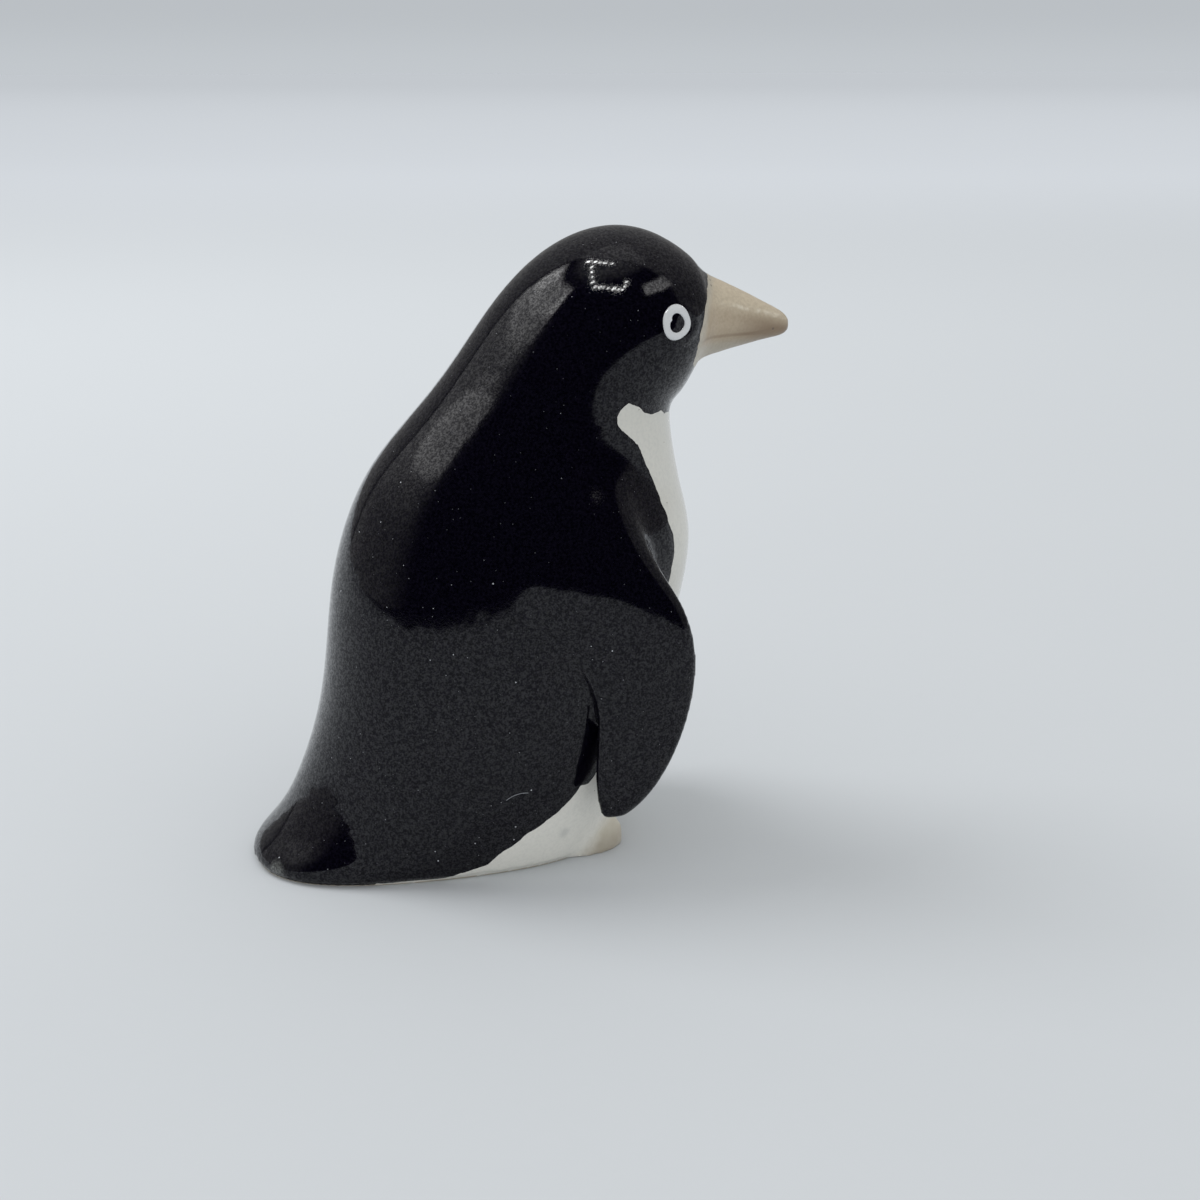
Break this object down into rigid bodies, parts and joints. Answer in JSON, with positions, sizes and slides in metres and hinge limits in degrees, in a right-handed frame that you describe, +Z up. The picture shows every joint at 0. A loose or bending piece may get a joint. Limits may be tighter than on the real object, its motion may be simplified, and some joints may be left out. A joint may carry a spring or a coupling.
{
  "type": "penguin figurine",
  "caption": "Small glazed ceramic penguin standing on a flat base, head and cone beak pointing forward, flippers held at its sides, low tail flaring behind.",
  "frame": {"origin": "on the plane that it stands on, in the middle of its overall length and width", "axes": "+Z up, +X forward, the way the beak points, +Y to the penguin's left"},
  "size_m": [0.0514, 0.0274, 0.0575],
  "materials": {
    "fired_clay": "unglazed, matt",
    "buff_glaze": "satin",
    "black_glaze": "gloss",
    "white_glaze": "gloss",
    "white_enamel": "gloss"
  },
  "bodies": {
    "root": {"body_casting": "fired_clay", "flipper_left": "fired_clay", "flipper_right": "fired_clay", "beak": "buff_glaze", "foot_left": "buff_glaze", "foot_right": "buff_glaze", "black_glaze": "black_glaze", "white_glaze": "white_glaze", "eye_ring_left": "white_enamel", "eye_ring_right": "white_enamel"}
  },
  "joints": []
}
